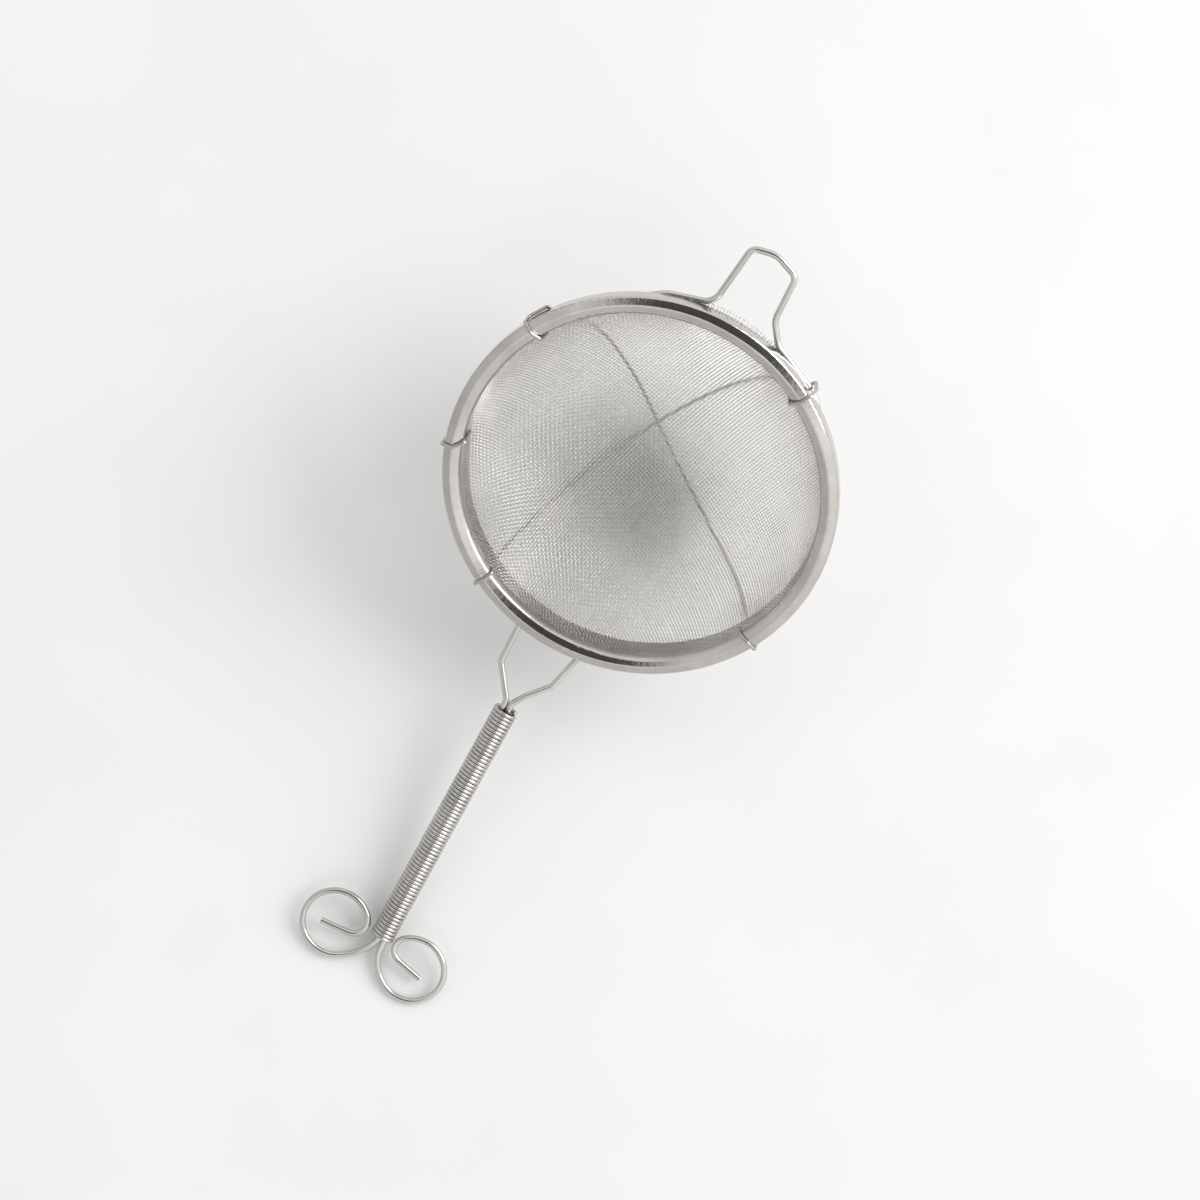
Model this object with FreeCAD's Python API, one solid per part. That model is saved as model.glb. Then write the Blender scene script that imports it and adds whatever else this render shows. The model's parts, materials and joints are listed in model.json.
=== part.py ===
import FreeCAD, Part
import math
import os
from FreeCAD import Vector

# Hand flour sifter: a woven wire bowl in a rolled steel rim, carried by a bent
# wire frame whose two tails run through a close-wound coil grip and end in curls.
#
# Every piece is drawn in the sifter's own frame: origin at the centre of the rim,
# +X towards the rest loop, handle towards -X, +Z along the bowl's axis and out of
# the bowl.  The last step tips the whole sifter onto its bowl and curls, as it
# lies on a table.  All sizes are millimetres and degrees.

# --- rim strip (outline points are on the middle of the sheet) ---
RIM_SHEET = 0.4
RIM_OUTER = 60.07          # outside radius of the rim
RIDGE_RADIUS = 57.4
RIDGE_TOP = 0.0
BEVEL_DROP = 0.85          # from the ridge down to the outer corner
OUTER_WALL_FOOT = -6.0
LIP_RADIUS = 54.75
LIP_FOOT = -4.6
SHOULDER_DROP = 1.05

# --- woven bowl ---
CLOTH = 0.6                # two crossing wires thick
BOWL_RADIUS = 55.3         # middle of the cloth
BOWL_CENTRE_Z = -3.0
HEM_TOP = -2.55
HEM_RADIUS = 58.7          # cloth folded down outside the frame wire
HEM_FOOT = -6.0

# --- collar that nips the cloth from outside ---
COLLAR_SHEET = 0.35
COLLAR_GAP = 0.05
COLLAR_TOP = -4.6
COLLAR_FOOT = -13.0

# --- frame wire ---
FRAME_WIRE = 2.0
SEAT_RADIUS = 57.3         # ring part of the frame, inside the rim
SEAT_Z = -3.95
UNDER_RIM_Z = -7.4         # height at which the wire passes out under the rim
BUTT_GAP = 0.02

# --- handle ---
TILT = 25.5                # rim plane against the table
YOKE_EXIT_X = -60.0
YOKE_EXIT_Y = 6.4
CROOK = 2.3                # the handle is a little askew to the rim
PAIR_OFFSET = 1.02         # each grip wire beside the handle's axis
GRIP_START = 26.2          # from the rim's edge along the handle
GRIP_TURNS = 68
CURL_REACH = 15.3          # centre line of the curls past the grip's end
LEG_INSIDE_GRIP = 0.6      # how far the straight grip wires reach out of the coil

# --- coil grip ---
COIL_WIRE = 1.25
COIL_PITCH = 1.268
COIL_BORE = 2.75           # radius, loose over the two wires
COIL_GROOVE = 0.27         # depth of the groove between two turns
COIL_SKEW = 0.4            # sideways shift of each end, as it lies on the wires

# --- cradle wires and clips ---
CRADLE_WIRE = 1.1
FIT = 0.05
CRADLE_LEAVES = 70.0       # polar angle at which a cradle wire leaves the bowl
CRADLE_BEND = 48.0         # bend radius between two places where it touches the bowl
CROSSING_POLAR = 25.0      # the lower wire stands off the bowl nearer to the pole than this
CROSSING_DROP = 1.35       # by this much
RIM_PASS = -6.9            # height at which a cradle wire comes out under the rim
RIM_TURN = -8.0            # height at which it starts to turn out
LOOP_FOOT_TURN = -9.4      # the same where it passes under the rest loop's foot
LOOP_FOOT_PASS = -9.0
LOOP_FOOT_CLEAR = 62.1     # radius that clears the rest loop's foot
HOOK_CLEAR = CRADLE_WIRE / 2 + FIT
HOOK_SHOULDER = -0.5       # height at which a hook bends over the rim
RIDGE_ROOM = 0.03          # more room over the ridge
HOOK_INSIDE = -0.7         # height at which it bends down inside
HOOK_END = -6.1
SIDE_RUN_ROOM = 0.1        # more room along the rim's wall

GRIP_LENGTH = GRIP_TURNS * COIL_PITCH
GRIP_END = GRIP_START + GRIP_LENGTH
BOWL_OUTSIDE = BOWL_RADIUS + CLOTH / 2
BOWL_CENTRE = Vector(0, 0, BOWL_CENTRE_Z)


def unit(vector):
    return Vector(vector).normalize()


def ring_point(radius, azimuth, z):
    """Point at a radius and azimuth about the bowl's axis."""
    a = math.radians(azimuth)
    return Vector(radius * math.cos(a), radius * math.sin(a), z)


def rim_centre_height():
    """Height of the rim's centre above the table once the bowl rests on it."""
    return BOWL_OUTSIDE - BOWL_CENTRE_Z * math.cos(math.radians(TILT))


def handle_slope():
    """Slope of the handle to the table, so that both curls touch it."""
    tilt = math.radians(TILT)
    exit_height = rim_centre_height() + YOKE_EXIT_X * math.sin(tilt)
    exit_height += UNDER_RIM_Z * math.cos(tilt)
    drop = exit_height - FRAME_WIRE / 2
    return math.degrees(math.asin(drop / (GRIP_END + CURL_REACH)))


def handle_axes():
    """Unit vectors along the handle, away from the bowl, and across it."""
    rise = math.radians(TILT - handle_slope())
    crook = math.radians(CROOK)
    outward = Vector(-math.cos(rise), 0, math.sin(rise))
    sideways = Vector(0, 1, 0)
    along = outward * math.cos(crook) + sideways * math.sin(crook)
    across = sideways * math.cos(crook) - outward * math.sin(crook)
    return along, across


def handle_point(s, t):
    """Point of the handle's plane: s along the handle from the rim, t across it."""
    along, across = handle_axes()
    start = Vector(YOKE_EXIT_X, YOKE_EXIT_Y, UNDER_RIM_Z)
    return start + along * s + across * t


# ---------------------------------------------------------------- wire paths
# A path is a list of edges, lines and circular arcs, each tangent to the next.


def line(start, end):
    return Part.LineSegment(start, end).toShape()


def arc_through(start, middle, end):
    return Part.Arc(start, middle, end).toShape()


def bent_path(points, radii):
    """Straight runs through the points, each corner rounded with its own radius."""
    edges = []
    start = points[0]
    for before, corner, after, radius in zip(points, points[1:], points[2:], radii):
        back = unit(before - corner)
        ahead = unit(after - corner)
        half = back.getAngle(ahead) / 2
        if math.pi / 2 - half < 1e-4:
            continue
        reach = radius / math.tan(half)
        first = corner + back * reach
        last = corner + ahead * reach
        centre = corner + unit(back + ahead) * (radius / math.sin(half))
        middle = centre + unit(corner - centre) * radius
        edges.append(line(start, first))
        edges.append(arc_through(first, middle, last))
        start = last
    edges.append(line(start, points[-1]))
    return edges


def ring_arc(radius, z, start, end):
    """Arc about the bowl's axis from one azimuth to another."""
    middle = ring_point(radius, (start + end) / 2, z)
    return arc_through(ring_point(radius, start, z), middle, ring_point(radius, end, z))


def wire_solid(edges, diameter):
    """Round wire along a path: a cylinder on each line, a torus part on each arc."""
    pieces = []
    for edge in edges:
        start = edge.valueAt(edge.FirstParameter)
        tangent = edge.tangentAt(edge.FirstParameter)
        ring = Part.Circle(start, tangent, diameter / 2).toShape()
        disc = Part.Face(Part.Wire(ring))
        if edge.Curve.TypeId == "Part::GeomLine":
            pieces.append(disc.extrude(edge.valueAt(edge.LastParameter) - start))
        else:
            centre = edge.Curve.Center
            axis = (start - centre).cross(tangent)
            angle = math.degrees(edge.LastParameter - edge.FirstParameter)
            pieces.append(disc.revolve(centre, axis, angle))
    return pieces[0].fuse(pieces[1:]).removeSplitter().Solids[0]


# ---------------------------------------------------------------- sheet pieces


def offset_outline(points, distance):
    """The open outline in the XZ plane moved sideways, with its corners mitred."""
    normals = []
    for a, b in zip(points, points[1:]):
        run = unit(b - a)
        normals.append(Vector(-run.z, 0, run.x))
    moved = [points[0] + normals[0] * distance]
    for corner, before, after in zip(points[1:], normals, normals[1:]):
        mitre = unit(before + after)
        moved.append(corner + mitre * (distance / mitre.dot(before)))
    moved.append(points[-1] + normals[-1] * distance)
    return moved


def turns_left(before, corner, after):
    a = corner - before
    b = after - corner
    return a.x * b.z - a.z * b.x > 0


def sheet_ring(points, radii, sheet):
    """A bent sheet strip turned about the bowl's axis."""
    sides = []
    for side in (1, -1):
        moved = offset_outline(points, side * sheet / 2)
        side_radii = []
        for before, corner, after, radius in zip(points, points[1:], points[2:], radii):
            inward = 1 if turns_left(before, corner, after) else -1
            side_radii.append(radius - side * inward * sheet / 2)
        sides.append((moved, bent_path(moved, side_radii)))
    (left_points, left), (right_points, right) = sides
    ends = [line(left_points[0], right_points[0]), line(left_points[-1], right_points[-1])]
    outline = Part.Wire(Part.__sortEdges__(left + right + ends))
    return Part.Face(outline).revolve(Vector(), Vector(0, 0, 1), 360)


def rim_hoop():
    """Strip rolled over the frame wire and the cloth's hem, open underneath."""
    wall = RIM_OUTER - RIM_SHEET / 2
    ridge = RIDGE_TOP - RIM_SHEET / 2
    outline = [
        Vector(LIP_RADIUS, 0, LIP_FOOT),
        Vector(LIP_RADIUS, 0, ridge - SHOULDER_DROP),
        Vector(RIDGE_RADIUS, 0, ridge),
        Vector(wall, 0, ridge - BEVEL_DROP),
        Vector(wall, 0, OUTER_WALL_FOOT),
    ]
    return sheet_ring(outline, [1.6, 0.7, 0.6], RIM_SHEET)


def mesh_bowl():
    """Closed shell in the place of the woven cloth, with its hem inside the rim."""
    half = CLOTH / 2
    waist_z = LIP_FOOT
    fold = 1.0

    def sphere_point(radius, z):
        return Vector(math.sqrt(radius ** 2 - (z - BOWL_CENTRE_Z) ** 2), 0, z)

    def cap(radius):
        pole = Vector(0, 0, BOWL_CENTRE_Z - radius)
        top = sphere_point(radius, waist_z)
        half_way = math.radians(45)
        middle = Vector(radius * math.sin(half_way), 0, BOWL_CENTRE_Z - radius * math.cos(half_way))
        return pole, top, arc_through(pole, middle, top)

    in_pole, in_top, in_cap = cap(BOWL_RADIUS - half)
    out_pole, out_top, out_cap = cap(BOWL_RADIUS + half)
    inner = bent_path(
        [
            in_top,
            Vector(in_top.x, 0, HEM_TOP + half),
            Vector(HEM_RADIUS + half, 0, HEM_TOP + half),
            Vector(HEM_RADIUS + half, 0, HEM_FOOT),
        ],
        [fold + half, fold + half],
    )
    outer = bent_path(
        [
            out_top,
            Vector(out_top.x, 0, HEM_TOP - half),
            Vector(HEM_RADIUS - half, 0, HEM_TOP - half),
            Vector(HEM_RADIUS - half, 0, HEM_FOOT),
        ],
        [fold - half, fold - half],
    )
    foot = line(Vector(HEM_RADIUS - half, 0, HEM_FOOT), Vector(HEM_RADIUS + half, 0, HEM_FOOT))
    edges = [in_cap, out_cap, foot, line(in_pole, out_pole)] + inner + outer
    outline = Part.Wire(Part.__sortEdges__(edges))
    return Part.Face(outline).revolve(Vector(), Vector(0, 0, 1), 360)


def mesh_collar():
    """Thin band hugging the cloth below the rim, its top edge inside the rim."""
    inside = BOWL_OUTSIDE + COLLAR_GAP
    height = COLLAR_TOP - COLLAR_FOOT
    corner = Vector(0, 0, COLLAR_FOOT)
    shell = Part.makeSphere(inside + COLLAR_SHEET, BOWL_CENTRE)
    shell = shell.cut(Part.makeSphere(inside, BOWL_CENTRE))
    return shell.common(Part.makeCylinder(RIM_OUTER, height, corner)).Solids[0]


# ---------------------------------------------------------------- frame wire


def ring_end(azimuth, towards, run):
    """End of the ring's arc, and a point straight ahead of it along the ring."""
    end = ring_point(SEAT_RADIUS, azimuth, SEAT_Z)
    ahead = ring_point(1, azimuth + 90 * towards, 0)
    return end, end + ahead * run


def curl_path(start_side, steps):
    """A curl in the handle's plane as straight runs and arcs, each (length) or
    (radius, turn) in order, turning away from the handle's axis first."""
    s, t = GRIP_START - LEG_INSIDE_GRIP, start_side * PAIR_OFFSET
    heading = 0.0
    edges = []
    for step in steps:
        ahead = (math.cos(heading), math.sin(heading))
        if len(step) == 1:
            end = (s + step[0] * ahead[0], t + step[0] * ahead[1])
            edges.append(line(handle_point(s, t), handle_point(*end)))
        else:
            radius, turn = step[0], math.radians(step[1]) * start_side
            hand = math.copysign(1, turn)
            centre = (s - hand * radius * ahead[1], t + hand * radius * ahead[0])

            def on_arc(angle):
                x = centre[0] + hand * radius * math.sin(angle)
                y = centre[1] - hand * radius * math.cos(angle)
                return (x, y)

            middle = on_arc(heading + turn / 2)
            end = on_arc(heading + turn)
            edges.append(arc_through(handle_point(s, t), handle_point(*middle), handle_point(*end)))
            heading += turn
        s, t = end
    return edges


def yoke_path(ring_azimuth, towards, under_rim, yoke, radii, start_side):
    """From the ring, down and out under the rim, and into the grip."""
    end, ahead = ring_end(ring_azimuth, towards, 3.0)
    points = [end, ahead] + under_rim + yoke
    points.append(handle_point(GRIP_START - LEG_INSIDE_GRIP, start_side * PAIR_OFFSET))
    return bent_path(points, radii)


def frame_wire_left():
    """Half ring, left yoke leg, grip run and left curl, all one wire."""
    ring = ring_arc(SEAT_RADIUS, SEAT_Z, 90 + BUTT_GAP, 150)
    under_rim = [ring_point(SEAT_RADIUS, 161, UNDER_RIM_Z), handle_point(-2.6, 8.55)]
    yoke = [handle_point(13.8, 8.3), handle_point(24.1, PAIR_OFFSET)]
    path = [ring] + yoke_path(150, 1, under_rim, yoke, [3.0, 3.0, 3.5, 3.2, 2.5], 1)
    run = GRIP_LENGTH + 1.2
    path += curl_path(1, [(run,), (3.5, 21), (20.0, 41), (10.7, 258), (4.7, 126), (9.4,)])
    return wire_solid(path, FRAME_WIRE)


def frame_wire_right():
    """Half ring, right yoke leg, grip run and right curl, all one wire."""
    ring = ring_arc(SEAT_RADIUS, SEAT_Z, -90 - BUTT_GAP, -150)
    under_rim = [ring_point(SEAT_RADIUS, -161, UNDER_RIM_Z), handle_point(-2.6, -13.4)]
    yoke = [handle_point(13.3, -9.6), handle_point(20.0, -3.8), handle_point(24.3, -PAIR_OFFSET)]
    path = [ring] + yoke_path(-150, -1, under_rim, yoke, [3.0, 3.0, 3.5, 3.2, 3.0, 2.5], -1)
    run = GRIP_LENGTH + 3.9
    path += curl_path(-1, [(run,), (9.0, 18), (14.0, 42), (10.5, 249), (4.4, 128), (8.6,)])
    return wire_solid(path, FRAME_WIRE)


def rest_loop_wire():
    """Front half of the ring, bent out under the rim into the rest loop."""
    z = UNDER_RIM_Z + 0.2
    left_end, left_ahead = ring_end(47, -1, 3.0)
    right_end, right_ahead = ring_end(-62, 1, 3.0)
    loop = [
        (61.0, 3.9, 5.5),
        (80.9, 0.75, 3.0),
        (82.2, -6.5, 7.5),
        (78.8, -14.3, 3.0),
        (64.5, -14.2, 6.5),
        (57.6, -18.6, 6.0),
    ]
    points = [left_end, left_ahead, ring_point(SEAT_RADIUS, 34, z), ring_point(60.1, 17, z)]
    radii = [3.0, 4.0, 12.0]
    for x, y, radius in loop:
        points.append(Vector(x, y, z))
        radii.append(radius)
    points += [ring_point(60.15, -34.5, z), ring_point(SEAT_RADIUS, -50, z), right_ahead, right_end]
    radii += [12.0, 6.0, 3.0]
    left = ring_arc(SEAT_RADIUS, SEAT_Z, 90 - BUTT_GAP, 47)
    right = ring_arc(SEAT_RADIUS, SEAT_Z, -62, -90 + BUTT_GAP)
    return wire_solid([left] + bent_path(points, radii) + [right], FRAME_WIRE)


def grip_axis():
    """Start of the coil's axis and its direction, a little askew to the wires."""
    start = handle_point(GRIP_START, -COIL_SKEW)
    end = handle_point(GRIP_END, COIL_SKEW)
    return start, unit(end - start)


def grip_coil():
    """Close-wound coil as a sleeve with its real bore and a ridge for each turn."""
    crest = COIL_BORE + COIL_WIRE
    groove = crest - COIL_GROOVE
    edges = []
    for turn in range(GRIP_TURNS):
        start = Vector(groove, 0, turn * COIL_PITCH)
        middle = Vector(crest, 0, (turn + 0.5) * COIL_PITCH)
        end = Vector(groove, 0, (turn + 1) * COIL_PITCH)
        edges.append(arc_through(start, middle, end))
    edges.append(line(Vector(COIL_BORE, 0, 0), Vector(groove, 0, 0)))
    edges.append(line(Vector(COIL_BORE, 0, GRIP_LENGTH), Vector(groove, 0, GRIP_LENGTH)))
    edges.append(line(Vector(COIL_BORE, 0, 0), Vector(COIL_BORE, 0, GRIP_LENGTH)))
    outline = Part.Wire(Part.__sortEdges__(edges))
    coil = Part.Face(outline).revolve(Vector(), Vector(0, 0, 1), 360)
    start, along = grip_axis()
    coil.Placement = FreeCAD.Placement(start, FreeCAD.Rotation(Vector(0, 0, 1), along))
    return coil


# ---------------------------------------------------------------- cradle wires


def bowl_point(radius, polar, azimuth):
    """Point about the bowl's centre, its polar angle measured from straight down."""
    p = math.radians(polar)
    return BOWL_CENTRE + ring_point(radius * math.sin(p), azimuth, -radius * math.cos(p))


def over_rim(azimuth, inner_azimuth, foot_z):
    """Wire points that climb the rim's wall, cross its ridge and end inside."""
    outside = RIM_OUTER + HOOK_CLEAR
    inside = LIP_RADIUS - RIM_SHEET / 2 - HOOK_CLEAR
    return [
        ring_point(outside, azimuth, foot_z),
        ring_point(outside, azimuth, HOOK_SHOULDER),
        ring_point(RIDGE_RADIUS, azimuth, RIDGE_TOP + HOOK_CLEAR + RIDGE_ROOM),
        ring_point(inside, (azimuth + inner_azimuth) / 2, HOOK_INSIDE),
        ring_point(inside, inner_azimuth, HOOK_END),
    ]


def leaving_point(azimuth, height):
    """Where the straight rise from the bowl's side ends, at a height."""
    polar = math.radians(CRADLE_LEAVES)
    start = bowl_point(BOWL_OUTSIDE + HOOK_CLEAR, CRADLE_LEAVES, azimuth)
    radius = math.hypot(start.x, start.y) + (height - start.z) / math.tan(polar)
    return ring_point(radius, azimuth, height)


def cradle_wire(route, crossing_drop, first_hook, last_hook):
    """Wire slung under the bowl; each end passes under the rim and hooks over it.

    The route is the polar and azimuth angles where the wire touches the bowl, with
    one bend between each two.  Bends near the pole drop by crossing_drop.  A hook is
    the azimuth and height at which the wire ends its straight rise, the points that
    follow, and the bend radius at each."""
    touches = [bowl_point(1, polar, azimuth) - BOWL_CENTRE for polar, azimuth in route]
    bends = []
    for before, after in zip(touches, touches[1:]):
        outward = unit(before + after)
        distance = (BOWL_OUTSIDE + HOOK_CLEAR) / math.cos(before.getAngle(after) / 2)
        if math.degrees(outward.getAngle(Vector(0, 0, -1))) < CROSSING_POLAR:
            distance += crossing_drop
        bends.append(BOWL_CENTRE + outward * distance)
    first_turn, first_points, first_radii = first_hook
    last_turn, last_points, last_radii = last_hook
    points = first_points[::-1] + [leaving_point(*first_turn)] + bends
    points += [leaving_point(*last_turn)] + last_points
    radii = first_radii[::-1] + [CRADLE_BEND] * len(bends) + last_radii
    return wire_solid(bent_path(points, radii), CRADLE_WIRE)


def plain_hook(turn_azimuth, azimuth, inner_azimuth):
    """Straight out under the rim and over it."""
    points = over_rim(azimuth, inner_azimuth, RIM_PASS)
    return (turn_azimuth, RIM_TURN), points, [2.0, 1.3, 0.9, 1.0, 0.9]


def side_run_hook(turn_azimuth, out_azimuth, azimuth, inner_azimuth):
    """Out under the rim, along its wall, then over it."""
    run_radius = RIM_OUTER + HOOK_CLEAR + SIDE_RUN_ROOM
    out = ring_point(run_radius, out_azimuth, RIM_PASS)
    corner = ring_point(run_radius, azimuth, OUTER_WALL_FOOT)
    points = [out, corner] + over_rim(azimuth, inner_azimuth, RIM_PASS)[1:]
    return (turn_azimuth, RIM_TURN), points, [2.0, 1.2, 1.2, 0.9, 1.0, 0.9]


def loop_foot_hook(turn_azimuth, out_azimuth, azimuth, inner_azimuth):
    """Out under the rest loop's wire, then over that wire and the rim."""
    out = ring_point(LOOP_FOOT_CLEAR, out_azimuth, LOOP_FOOT_PASS)
    up = ring_point(LOOP_FOOT_CLEAR, azimuth, LIP_FOOT)
    points = [out, up] + over_rim(azimuth, inner_azimuth, RIM_PASS)[1:]
    return (turn_azimuth, LOOP_FOOT_TURN), points, [1.2, 0.8, 1.4, 0.9, 1.0, 0.9]


def cradle_wire_1():
    route = [(70, 51), (50, 51), (30, 51.5), (11, 62), (9, -150), (28, -131.5), (49, -125.5), (70, -120.3)]
    return cradle_wire(route, 0, side_run_hook(51, 50.8, 57.4, 55.2), plain_hook(-120, -119.4, -121.2))


def cradle_wire_2():
    """Crosses below the first cradle wire, and hooks over the rest loop's foot."""
    route = [(70, 146.5), (49, 145), (28, 142), (8, 124), (13, -17), (33, -26.5), (52, -29.5), (70, -31.5)]
    last_hook = loop_foot_hook(-32, -32.2, -33.2, -31.2)
    return cradle_wire(route, CROSSING_DROP, plain_hook(147, 147.6, 147.0), last_hook)


def binding_clip():
    """Short length of wire bent over the rim alone."""
    points = over_rim(103.2, 99.0, -5.6)
    return wire_solid(bent_path(points, [0.9, 1.0, 0.9]), CRADLE_WIRE)


# ---------------------------------------------------------------- assembly


def resting_placement(shapes):
    """Tip the sifter onto its bowl and curls, centred over the origin."""
    tip = FreeCAD.Placement(Vector(), FreeCAD.Rotation(Vector(0, 1, 0), -TILT))
    lift = FreeCAD.Placement(Vector(0, 0, rim_centre_height()), FreeCAD.Rotation())
    tipped = []
    for shape in shapes:
        copy = shape.copy()
        copy.Placement = lift.multiply(tip).multiply(shape.Placement)
        tipped.append(copy)
    box = Part.makeCompound(tipped).optimalBoundingBox(False, False)
    centre = FreeCAD.Placement(Vector(-box.Center.x, -box.Center.y, -box.ZMin), FreeCAD.Rotation())
    return centre.multiply(lift).multiply(tip)


NODES = {
    "rim_hoop": rim_hoop,
    "mesh_collar": mesh_collar,
    "mesh_bowl": mesh_bowl,
    "frame_wire_left": frame_wire_left,
    "frame_wire_right": frame_wire_right,
    "rest_loop_wire": rest_loop_wire,
    "grip_coil": grip_coil,
    "cradle_wire_1": cradle_wire_1,
    "cradle_wire_2": cradle_wire_2,
    "binding_clip": binding_clip,
}


def main():
    os.makedirs("parts", exist_ok=True)
    shapes = {name: make() for name, make in NODES.items()}
    resting = resting_placement(shapes.values())
    for name, shape in shapes.items():
        shape.Placement = resting.multiply(shape.Placement)
        shape.exportStep("parts/" + name + ".step")
        box = shape.optimalBoundingBox(False, False)
        print("%-18s volume %9.1f  valid %s  solids %d  z %.2f to %.2f" % (
            name, shape.Volume, shape.isValid(), len(shape.Solids), box.ZMin, box.ZMax))
    start, along = grip_axis()
    axis = resting.Rotation.multVec(along)
    point = resting.multVec(start)
    print("handle slope %.3f" % handle_slope())
    print("grip axis %.6f %.6f %.6f" % tuple(axis))
    print("grip start %.4f %.4f %.4f" % tuple(point))
    print("rim centre %.4f %.4f %.4f" % tuple(resting.multVec(Vector())))


main()
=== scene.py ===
import json
import math
import bpy
import numpy as np
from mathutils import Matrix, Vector


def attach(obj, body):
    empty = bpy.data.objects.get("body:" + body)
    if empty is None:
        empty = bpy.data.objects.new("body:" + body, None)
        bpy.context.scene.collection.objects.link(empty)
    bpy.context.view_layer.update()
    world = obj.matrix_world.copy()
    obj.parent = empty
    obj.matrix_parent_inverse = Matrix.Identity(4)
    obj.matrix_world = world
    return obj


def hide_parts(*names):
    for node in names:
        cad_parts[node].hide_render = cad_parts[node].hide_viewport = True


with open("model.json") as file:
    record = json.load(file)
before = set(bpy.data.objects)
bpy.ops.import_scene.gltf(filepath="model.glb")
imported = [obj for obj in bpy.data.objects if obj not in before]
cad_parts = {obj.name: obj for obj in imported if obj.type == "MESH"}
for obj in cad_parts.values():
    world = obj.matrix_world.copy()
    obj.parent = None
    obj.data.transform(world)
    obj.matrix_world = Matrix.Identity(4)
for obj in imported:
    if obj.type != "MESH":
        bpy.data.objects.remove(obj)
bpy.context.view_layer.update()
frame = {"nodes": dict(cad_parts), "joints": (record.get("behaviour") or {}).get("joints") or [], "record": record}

# ------------------------------------------------------------------ the frame


def unit(vectors):
    """Vectors made one unit long."""
    return vectors / np.linalg.norm(vectors, axis=-1, keepdims=True)


RIM = next(m for m in frame["record"]["mounts"] if m["name"] == "mouth_rim")
RIM_CENTRE = np.array(RIM["pos_m"])
BOWL_AXIS = unit(np.array(RIM["axis"]))
RIM_X = np.cross((0.0, 1.0, 0.0), BOWL_AXIS)
RIM_Y = np.cross(BOWL_AXIS, RIM_X)
TILT = math.atan2(-BOWL_AXIS[0], BOWL_AXIS[2])
GRIP = next(j for j in frame["joints"] if j["name"] == "grip_spin")

# Sizes in metres; heights are measured from the rim's centre along its axis.
CLOTH_RADIUS = 0.0553             # middle of the cloth, about the bowl's centre
CLOTH_CENTRE = -0.0030
CLOTH_TOP = -0.0036
MESH_PITCH = 0.00105
MESH_WIRE = 0.00034
MESH_WAVE = 0.00016               # swing of a wire to each side of the cloth's middle
WEAVE_TURN = math.radians(-21)    # direction of the warp about the bowl's axis

RNG = np.random.default_rng(11)


def to_world(local):
    """Points of the rim's own frame, in metres, to the model's frame."""
    local = np.asarray(local, float)
    return RIM_CENTRE + local[..., :1] * RIM_X + local[..., 1:2] * RIM_Y + local[..., 2:] * BOWL_AXIS


# ------------------------------------------------------------------ mesh tubes


def tube_arrays(points, normals, radius, sides):
    """Vertices and quads of a round wire along points; normals steady its section."""
    tangents = unit(np.gradient(points, axis=0))
    across = unit(np.cross(tangents, normals))
    up = np.cross(across, tangents)
    angles = 2 * math.pi * np.arange(sides) / sides
    circle = np.cos(angles)[None, :, None] * across[:, None] + np.sin(angles)[None, :, None] * up[:, None]
    vertices = (points[:, None] + circle * radius).reshape(-1, 3)
    row = np.arange(len(points) - 1)[:, None] * sides
    side = np.arange(sides)[None, :]
    ahead = (side + 1) % sides
    quads = np.stack([row + side, row + ahead, row + sides + ahead, row + sides + side], axis=-1)
    return vertices, quads.reshape(-1, 4)


def wires_object(name, wires):
    """One mesh object from (points, normals, radius, sides) wires, with closed ends."""
    all_vertices, all_quads, caps = [], [], []
    base = 0
    for points, normals, radius, sides in wires:
        vertices, quads = tube_arrays(points, normals, radius, sides)
        all_vertices.append(vertices)
        all_quads.append(quads + base)
        caps.append(base + np.arange(sides)[::-1])
        caps.append(base + len(vertices) - sides + np.arange(sides))
        base += len(vertices)
    vertices = np.concatenate(all_vertices)
    quads = np.concatenate(all_quads)
    mesh = bpy.data.meshes.new(name)
    mesh.vertices.add(len(vertices))
    mesh.vertices.foreach_set("co", vertices.astype(np.float32).ravel())
    loops = np.concatenate([quads.ravel(), *caps]).astype(np.int32)
    totals = np.array([4] * len(quads) + [len(c) for c in caps], dtype=np.int32)
    starts = np.concatenate([[0], np.cumsum(totals)[:-1]]).astype(np.int32)
    mesh.loops.add(len(loops))
    mesh.loops.foreach_set("vertex_index", loops)
    mesh.polygons.add(len(totals))
    mesh.polygons.foreach_set("loop_start", starts)
    mesh.polygons.foreach_set("use_smooth", totals == 4)
    mesh.update(calc_edges=True)
    mesh.validate()
    item = bpy.data.objects.new(name, mesh)
    bpy.context.scene.collection.objects.link(item)
    return item


# ------------------------------------------------------------------ woven bowl
# The flat cloth is pressed into the bowl.  A place on the bowl is its angle from
# the pole and its azimuth; the weave's own coordinates (p, q) there are a mean of
# an even spread from the pole and of a pure shear of the threads.

SHEAR = 0.5                # share of the shear in that mean
SEARCH_STEPS = 60
SEARCH_STRIDE = 0.7
WIDEST_ANGLE = 1.62        # a little past the bowl's equator
CLOTH_SIDES = 4
DRIFT = 0.06               # how far a wire strays from its line, in pitches
DRIFT_POINTS = 16          # half pitches from one stray to the next
SHORTEST_STEP = 1e-5
FEWEST_POINTS = 4          # a shorter wire is left out
TINY = 1e-9


def weave_coordinate(x, y):
    """Thread coordinate, in radii of the bowl, at angle hypot(x, y) from the pole."""
    theta = np.hypot(x, y)
    sinc = np.where(theta < TINY, 1.0, np.sin(theta) / np.maximum(theta, TINY))
    sheared = np.arcsin(np.clip(sinc * x, -1, 1))
    return SHEAR * sheared + (1 - SHEAR) * x


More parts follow.
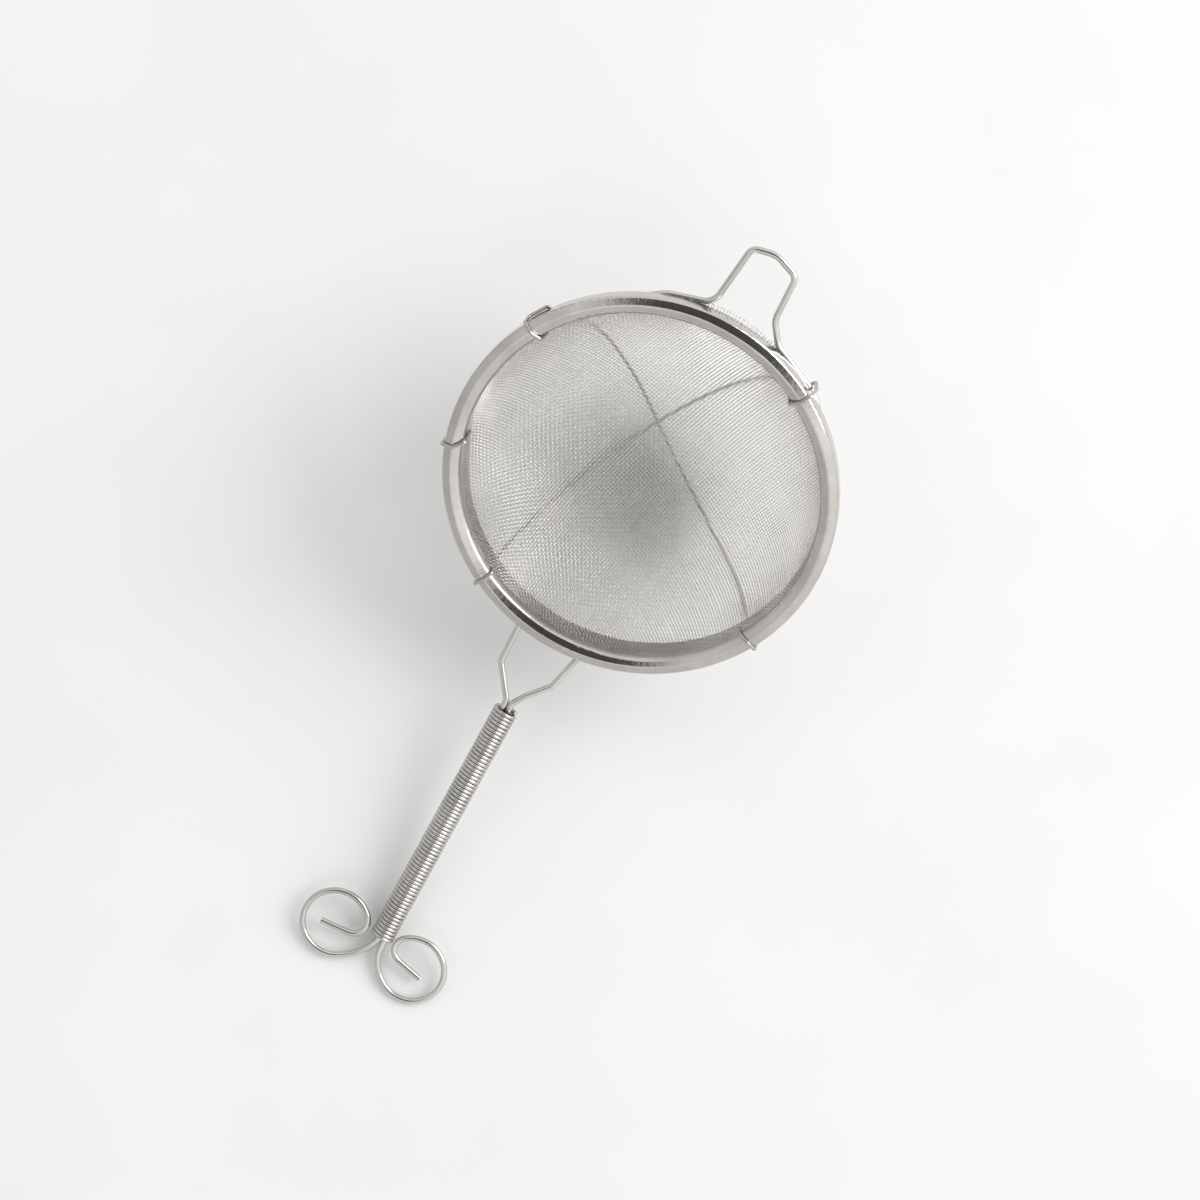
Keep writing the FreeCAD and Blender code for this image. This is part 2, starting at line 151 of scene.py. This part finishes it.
def place_on_bowl(p, q):
    """Angles from the pole (x, y) of the crossings at thread coordinates (p, q)."""
    x, y = p.copy(), q.copy()
    for _ in range(SEARCH_STEPS):
        x += SEARCH_STRIDE * (p - weave_coordinate(x, y))
        y += SEARCH_STRIDE * (q - weave_coordinate(y, x))
        theta = np.hypot(x, y)
        keep = np.minimum(1.0, WIDEST_ANGLE / np.maximum(theta, TINY))
        x = x * keep
        y = y * keep
    return x, y


def drifting_line(halves, place):
    """A wire's own thread coordinate along its length, straying a little from place."""
    knots = halves[::DRIFT_POINTS]
    drift = DRIFT * np.interp(halves, knots, RNG.normal(size=len(knots)))
    step = MESH_PITCH / CLOTH_RADIUS
    return np.full(len(halves), place * step) + drift * step


def bowl_wires(along_p):
    """Wires of one family; each waves over and under the other family."""
    step = MESH_PITCH / CLOTH_RADIUS
    top_angle = math.pi / 2 + math.asin((CLOTH_TOP - CLOTH_CENTRE) / CLOTH_RADIUS)
    reach = int(math.pi / 2 / step) + 1
    wires = []
    halves = np.arange(-2 * reach, 2 * reach + 1)
    for thread in range(-reach, reach + 1):
        fixed = drifting_line(halves, thread)
        moving = halves * step / 2
        x, y = place_on_bowl(moving, fixed) if along_p else place_on_bowl(fixed, moving)
        theta = np.hypot(x, y)
        inside = theta < top_angle
        if inside.sum() < FEWEST_POINTS:
            continue
        first, last = np.flatnonzero(inside)[[0, -1]]
        span = slice(max(first - 1, 0), min(last + 1, len(halves) - 1) + 1)
        crossing = np.cos(math.pi * (halves / 2 + thread))
        wave = MESH_WAVE * crossing[span] * (1 if along_p else -1)
        azimuth = np.arctan2(y, x)[span] + WEAVE_TURN
        theta = np.minimum(theta[span], top_angle)
        level = np.sin(theta)
        out = np.stack([level * np.cos(azimuth), level * np.sin(azimuth), -np.cos(theta)], -1)
        points = to_world(out * (CLOTH_RADIUS + wave)[:, None] + np.array([0, 0, CLOTH_CENTRE]))
        gaps = np.linalg.norm(np.diff(points, axis=0), axis=1)
        keep = np.concatenate([[True], gaps > SHORTEST_STEP])
        normals = to_world(out) - RIM_CENTRE
        if keep.sum() >= FEWEST_POINTS:
            wires.append((points[keep], normals[keep], MESH_WIRE / 2, CLOTH_SIDES))
    return wires


def woven_bowl():
    """Both families, each in two pieces."""
    pieces = []
    for family, along_p in (("warp", True), ("weft", False)):
        wires = bowl_wires(along_p)
        half = len(wires) // 2
        for side, part in (("a", wires[:half]), ("b", wires[half:])):
            pieces.append(wires_object("cloth_%s_%s" % (family, side), part))
    return pieces


# ------------------------------------------------------------------ hem and fringe

HEM_RADIUS = 0.0587
HEM_TOP = -0.0028
HEM_ROWS = 3                      # wires that run round the hem
FIRST_ROW_DROP = 0.0004
ROW_STEPS = 360
FRINGE_SPACING = 0.86             # of the mesh pitch
FRINGE_SCATTER = 0.0025           # of the azimuth, in radians
FRINGE_LENGTH = 0.0034
FRINGE_MORE = 0.0005              # at the rest loop's side
FRINGE_UNEVEN = 0.0003
FLARE = 0.0004
FLARE_MORE = 0.0019               # at the rest loop's side
FLARE_UNEVEN = 0.0004
FRONT_AZIMUTH = math.radians(-3)
FRONT_EDGE = 0.93                 # cosine of the half width of that side
LEAN = 0.8                        # of the bias angle of the cloth there
FRINGE_POINTS = 6
HEM_SIDES = 5


def fringe_wire(k, count):
    """One cut end of the cloth, folded down and flaring out below the rim."""
    azimuth = 2 * math.pi * k / count + RNG.normal() * FRINGE_SCATTER
    bias = (azimuth - WEAVE_TURN + math.pi / 4) % (math.pi / 2) - math.pi / 4
    front = max(0.0, math.cos(azimuth - FRONT_AZIMUTH) - FRONT_EDGE) / (1 - FRONT_EDGE)
    flare = FLARE + FLARE_MORE * front + FLARE_UNEVEN * RNG.random()
    length = FRINGE_LENGTH + FRINGE_MORE * front + FRINGE_UNEVEN * RNG.random()
    t = np.linspace(0, 1, FRINGE_POINTS)
    wave = MESH_WAVE * np.cos(math.pi * (np.arange(FRINGE_POINTS) + k))
    radius = HEM_RADIUS + flare * t ** 5 + wave * (1 - t)
    turn = azimuth + math.tan(bias * LEAN) * length * t / HEM_RADIUS
    out = np.stack([np.cos(turn), np.sin(turn), np.zeros(FRINGE_POINTS)], -1)
    local = out * radius[:, None]
    local[:, 2] = HEM_TOP - length * t
    return to_world(local), to_world(out) - RIM_CENTRE, MESH_WIRE / 2, HEM_SIDES


def hem_row(height):
    """One wire of the hem that runs all the way round."""
    steps = np.linspace(0, 2 * math.pi, ROW_STEPS + 1)
    out = np.stack([np.cos(steps), np.sin(steps), np.zeros(len(steps))], -1)
    local = out * HEM_RADIUS + np.array([0, 0, height])
    return to_world(local), to_world(out) - RIM_CENTRE, MESH_WIRE / 2, HEM_SIDES


def hem_and_fringe():
    """Cloth folded down outside the frame wire, with its cut ends below the rim."""
    count = int(2 * math.pi * HEM_RADIUS / (FRINGE_SPACING * MESH_PITCH))
    wires = [fringe_wire(k, count) for k in range(count)]
    for row in range(HEM_ROWS):
        wires.append(hem_row(HEM_TOP - FIRST_ROW_DROP - row * MESH_PITCH))
    return wires_object("cloth_hem", wires)


# ------------------------------------------------------------------ coil grip

COIL_WIRE = 0.00125
COIL_TURNS = 68
TURN_STEPS = 40
COIL_SIDES = 12
END_ANGLE = math.radians(200)
COIL_UNEVEN = 0.00003


def coil_helix():
    """The grip's close-wound wire as a true helix over the CAD sleeve's place."""
    start = np.array(GRIP["pos_m"])
    axis = unit(np.array(GRIP["axis"]))
    places = np.array([v.co for v in frame["nodes"]["grip_coil"].data.vertices]) - start
    along = places @ axis
    outer = np.linalg.norm(places - along[:, None] * axis, axis=1).max()
    pitch = along.max() / COIL_TURNS
    side = unit(np.cross(axis, (0.0, 0.0, 1.0)))
    up = np.cross(side, axis)
    turn = np.linspace(0, COIL_TURNS - 1, (COIL_TURNS - 1) * TURN_STEPS + 1)
    angle = 2 * math.pi * turn + END_ANGLE
    out = np.cos(angle)[:, None] * side + np.sin(angle)[:, None] * up
    uneven = RNG.normal(size=COIL_TURNS + 1)
    wobble = COIL_UNEVEN * np.interp(turn, np.arange(COIL_TURNS + 1), uneven)
    advance = pitch / 2 + turn * pitch + wobble
    points = start + axis * advance[:, None] + out * (outer - COIL_WIRE / 2)
    return wires_object("grip_helix", [(points, out, COIL_WIRE / 2, COIL_SIDES)])


# ------------------------------------------------------------------ materials

TONE_SCALE = 55.0
STAIN_SCALE = 420.0
STAIN_SPAN = (0.52, 0.8)           # noise from clean to fully stained
STAIN_TINT = (0.55, 0.50, 0.45, 1)
LEAST_ROUGH = 0.75                 # of a steel's own roughness
MOST_ROUGH = 1.35
GRAIN_STRENGTH = 0.25
DENT_SCALE = 620.0
DENT_STRENGTH = 0.5
ROLLING_STRETCH = 60.0             # rolling marks are that much longer than wide


def node_material(name):
    """A new material, its node tree and its shader."""
    material = bpy.data.materials.new(name)
    material.use_nodes = True
    tree = material.node_tree
    shader = tree.nodes["Principled BSDF"]
    return material, tree, shader


def add(tree, kind, **values):
    """A new node with the given properties."""
    item = tree.nodes.new(kind)
    for key, value in values.items():
        setattr(item, key, value)
    return item


def noise(tree, vector, scale, detail=3.0, roughness=0.55):
    item = add(tree, "ShaderNodeTexNoise")
    item.inputs["Scale"].default_value = scale
    item.inputs["Detail"].default_value = detail
    item.inputs["Roughness"].default_value = roughness
    tree.links.new(vector, item.inputs["Vector"])
    return item.outputs["Fac"]


def ramp(tree, factor, low, high, low_at=0.3, high_at=0.7):
    """Colour or grey that runs from low to high as the factor rises."""
    item = add(tree, "ShaderNodeValToRGB")
    item.color_ramp.elements[0].position = low_at
    item.color_ramp.elements[1].position = high_at
    item.color_ramp.elements[0].color = (*low, 1)
    item.color_ramp.elements[1].color = (*high, 1)
    tree.links.new(factor, item.inputs["Fac"])
    return item.outputs["Color"]


def mapped_range(tree, factor, low, high, low_at=0.3, high_at=0.7):
    item = add(tree, "ShaderNodeMapRange")
    item.inputs["From Min"].default_value = low_at
    item.inputs["From Max"].default_value = high_at
    item.inputs["To Min"].default_value = low
    item.inputs["To Max"].default_value = high
    tree.links.new(factor, item.inputs["Value"])
    return item.outputs["Result"]


def place(tree):
    return add(tree, "ShaderNodeTexCoord").outputs["Object"]


def combined(tree, *parts):
    item = add(tree, "ShaderNodeCombineXYZ")
    for part, socket in zip(parts, item.inputs):
        tree.links.new(part, socket)
    return item.outputs["Vector"]


def sped_up(tree, value, slow):
    """A value that changes ROLLING_STRETCH times as fast, added to a slow one."""
    item = add(tree, "ShaderNodeMath", operation="MULTIPLY_ADD")
    tree.links.new(value, item.inputs[0])
    item.inputs[1].default_value = ROLLING_STRETCH
    tree.links.new(slow, item.inputs[2])
    return item.outputs["Value"]


def around_rim(tree):
    """Coordinates that change fast across the rim's strip and slowly along it."""
    turned = add(tree, "ShaderNodeMapping", vector_type="TEXTURE")
    turned.inputs["Location"].default_value = RIM_CENTRE
    turned.inputs["Rotation"].default_value = (0, -TILT, 0)
    tree.links.new(place(tree), turned.inputs["Vector"])
    parts = add(tree, "ShaderNodeSeparateXYZ")
    tree.links.new(turned.outputs["Vector"], parts.inputs["Vector"])
    x, y, z = parts.outputs
    radius = add(tree, "ShaderNodeVectorMath", operation="LENGTH")
    tree.links.new(combined(tree, x, y), radius.inputs[0])
    return combined(tree, sped_up(tree, radius.outputs["Value"], x), sped_up(tree, z, y), x)


def bump(tree, height, strength, distance):
    item = add(tree, "ShaderNodeBump")
    item.inputs["Strength"].default_value = strength
    item.inputs["Distance"].default_value = distance
    tree.links.new(height, item.inputs["Height"])
    return item


def steel(name, light, dark, rough, grain_scale,
          grain_depth=0.00001, strip=False, grime=0.15, dent_depth=0):
    """Stainless steel: drifting tone, drawn or rolled grain, faint stains and small dents."""
    material, tree, shader = node_material(name)
    where = place(tree)
    grain_place = around_rim(tree) if strip else where
    tone = noise(tree, where, TONE_SCALE)
    stains = noise(tree, where, STAIN_SCALE, detail=4.0, roughness=0.7)
    stain = mapped_range(tree, stains, 0.0, grime, *STAIN_SPAN)
    mix = add(tree, "ShaderNodeMix", data_type="RGBA", blend_type="MULTIPLY")
    mix.inputs["B"].default_value = STAIN_TINT
    tree.links.new(stain, mix.inputs["Factor"])
    tree.links.new(ramp(tree, tone, dark, light), mix.inputs["A"])
    tree.links.new(mix.outputs["Result"], shader.inputs["Base Color"])
    grain = noise(tree, grain_place, grain_scale, detail=4.0, roughness=0.6)
    roughness = mapped_range(tree, grain, rough * LEAST_ROUGH, rough * MOST_ROUGH)
    tree.links.new(roughness, shader.inputs["Roughness"])
    grain_bump = bump(tree, grain, GRAIN_STRENGTH, grain_depth)
    if dent_depth:
        dent_noise = noise(tree, where, DENT_SCALE, roughness=0.65)
        dents = bump(tree, dent_noise, DENT_STRENGTH, dent_depth)
        tree.links.new(dents.outputs["Normal"], grain_bump.inputs["Normal"])
    tree.links.new(grain_bump.outputs["Normal"], shader.inputs["Normal"])
    shader.inputs["Metallic"].default_value = 1.0
    return material


def dress(item, material):
    item.data.materials.clear()
    item.data.materials.append(material)


def set_materials(cloth, hem, coil):
    """A steel for each kind of piece, from its lighter and its darker tone."""
    nodes = frame["nodes"]
    rim = steel("rolled_rim_steel", light=(0.62, 0.60, 0.57), dark=(0.48, 0.46, 0.435), rough=0.13,
                grain_scale=34.0, grain_depth=0.00003, strip=True, dent_depth=0.00012)
    # The collar's darker tones are painted shade: they darken the band under the rim at the handle side, where the
    # cloth is seen against a shadowed, dark-reflecting skirt. Its grime of 0.3 gives that band heavier mottling.
    collar_painted_shade = steel("collar_steel", light=(0.46, 0.44, 0.415), dark=(0.34, 0.325, 0.30), rough=0.34,
                   grain_scale=70.0, grain_depth=0.00003, strip=True, grime=0.3)
    frame_wire = steel("drawn_wire_steel", light=(0.66, 0.65, 0.625), dark=(0.50, 0.49, 0.47),
                       rough=0.17, grain_scale=2600.0)
    thin_wire = steel("thin_wire_steel", light=(0.56, 0.54, 0.515), dark=(0.40, 0.385, 0.36),
                      rough=0.20, grain_scale=3400.0)
    coil_steel = steel("coil_wire_steel", light=(0.60, 0.585, 0.56), dark=(0.45, 0.44, 0.415),
                       rough=0.17, grain_scale=3000.0)
    cloth_steel = steel("woven_wire_steel", light=(0.90, 0.885, 0.865), dark=(0.74, 0.725, 0.70),
                        rough=0.20, grain_scale=5200.0)
    dress(nodes["rim_hoop"], rim)
    dress(nodes["mesh_collar"], collar_painted_shade)
    for name in ("frame_wire_left", "frame_wire_right", "rest_loop_wire"):
        dress(nodes[name], frame_wire)
    for name in ("cradle_wire_1", "cradle_wire_2", "binding_clip"):
        dress(nodes[name], thin_wire)
    dress(coil, coil_steel)
    for piece in cloth + [hem]:
        dress(piece, cloth_steel)


# ------------------------------------------------------------------ the studio

VIEW_TURN = math.radians(-64)             # about the vertical, from +X
CAMERA_HEIGHT = 0.803
CAMERA_FROM_RIM = (-0.03365, -0.00424)
LENS = 75.0
SENSOR = 36.0
NEAREST = 0.01
FLOOR_SIZE = 3.0
FLOOR_DARK = (0.795, 0.792, 0.795)
FLOOR_LIGHT = (0.835, 0.832, 0.835)
FLOOR_SCALE = 9.0
FLOOR_ROUGH = 0.8
WINDOW_PLACE = (1.95, 0.5, 1.15)          # right of the picture, up it, and height
WINDOW_SIZE = (1.7, 1.5)
WINDOW_POWER = 35.0
WINDOW_RISE = 0.25                        # upward part of the window side's direction
ROOM_TINT = (1.0, 0.995, 0.985, 1)
ROOM_SIDES = (0.75, 1.25)                 # light from the far side and the window side
SIDE_SPAN = (-0.5, 0.8)                   # direction's part towards the window
WALL_TO_CEILING = (0.90, 1.06)
CEILING_SPAN = (0.25, 0.7)                # direction's upward part
PATCH_LIGHT = 0.08                        # share of light left overhead
PATCH_SPAN = (0.88, 0.945)                # direction's upward part at the patch's edge


def floor():
    mesh = bpy.data.meshes.new("floor")
    half = FLOOR_SIZE / 2
    corners = [(-half, -half, 0), (half, -half, 0), (half, half, 0), (-half, half, 0)]
    mesh.from_pydata(corners, [], [(0, 1, 2, 3)])
    item = bpy.data.objects.new("floor", mesh)
    bpy.context.scene.collection.objects.link(item)
    material, tree, shader = node_material("pale_floor")
    tone = noise(tree, place(tree), FLOOR_SCALE)
    tree.links.new(ramp(tree, tone, FLOOR_DARK, FLOOR_LIGHT), shader.inputs["Base Color"])
    shader.inputs["Roughness"].default_value = FLOOR_ROUGH
    dress(item, material)


def window_light():
    """Soft light from the right of the picture, aimed at the sifter."""
    right = np.array([math.cos(VIEW_TURN), math.sin(VIEW_TURN), 0])
    up = np.array([-math.sin(VIEW_TURN), math.cos(VIEW_TURN), 0])
    where = right * WINDOW_PLACE[0] + up * WINDOW_PLACE[1] + np.array([0, 0, WINDOW_PLACE[2]])
    lamp = bpy.data.lights.new("window", "AREA")
    lamp.shape = "RECTANGLE"
    lamp.size, lamp.size_y = WINDOW_SIZE
    lamp.energy = WINDOW_POWER
    item = bpy.data.objects.new("window", lamp)
    item.location = where
    item.rotation_euler = (-Vector(where)).to_track_quat("-Z", "Y").to_euler()
    bpy.context.scene.collection.objects.link(item)


def direction_part(tree, towards):
    """How far the looked-at direction points along a vector, from -1 to 1."""
    item = add(tree, "ShaderNodeVectorMath", operation="DOT_PRODUCT")
    tree.links.new(add(tree, "ShaderNodeTexCoord").outputs["Generated"], item.inputs[0])
    item.inputs[1].default_value = towards
    return item.outputs["Value"]


def product(tree, first, second):
    item = add(tree, "ShaderNodeMath", operation="MULTIPLY")
    tree.links.new(first, item.inputs[0])
    tree.links.new(second, item.inputs[1])
    return item.outputs["Value"]


def studio_world():
    """Pale room: bright ceiling, a window side, and a dark patch straight overhead."""
    world = bpy.data.worlds.new("studio")
    bpy.context.scene.world = world
    world.use_nodes = True
    tree = world.node_tree
    window = (math.cos(VIEW_TURN), math.sin(VIEW_TURN), WINDOW_RISE)
    side = mapped_range(tree, direction_part(tree, window), *ROOM_SIDES, *SIDE_SPAN)
    height = direction_part(tree, (0, 0, 1))
    ceiling = mapped_range(tree, height, *WALL_TO_CEILING, *CEILING_SPAN)
    patch = mapped_range(tree, height, 1.0, PATCH_LIGHT, *PATCH_SPAN)
    background = tree.nodes["Background"]
    background.inputs["Color"].default_value = ROOM_TINT
    strength = product(tree, product(tree, side, ceiling), patch)
    tree.links.new(strength, background.inputs["Strength"])


def lights():
    """The room, the window and a plain view transform."""
    studio_world()
    window_light()
    bpy.context.scene.view_settings.view_transform = "Standard"


def camera():
    """Straight above, turned so that the handle runs to the lower left."""
    data = bpy.data.cameras.new("view")
    data.lens = LENS
    data.sensor_width = SENSOR
    data.clip_start = NEAREST
    item = bpy.data.objects.new("view", data)
    x, y = RIM_CENTRE[:2] + CAMERA_FROM_RIM
    item.location = (x, y, CAMERA_HEIGHT)
    item.rotation_euler = (0, 0, VIEW_TURN)
    bpy.context.scene.collection.objects.link(item)
    bpy.context.scene.camera = item


# ------------------------------------------------------------------ assembly


def build():
    cloth = woven_bowl()
    hem = hem_and_fringe()
    coil = coil_helix()
    for piece in cloth + [hem]:
        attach(piece, "sifter")
    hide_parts("mesh_bowl")
    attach(coil, "grip")
    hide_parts("grip_coil")
    set_materials(cloth, hem, coil)
    floor()
    lights()
    camera()


build()
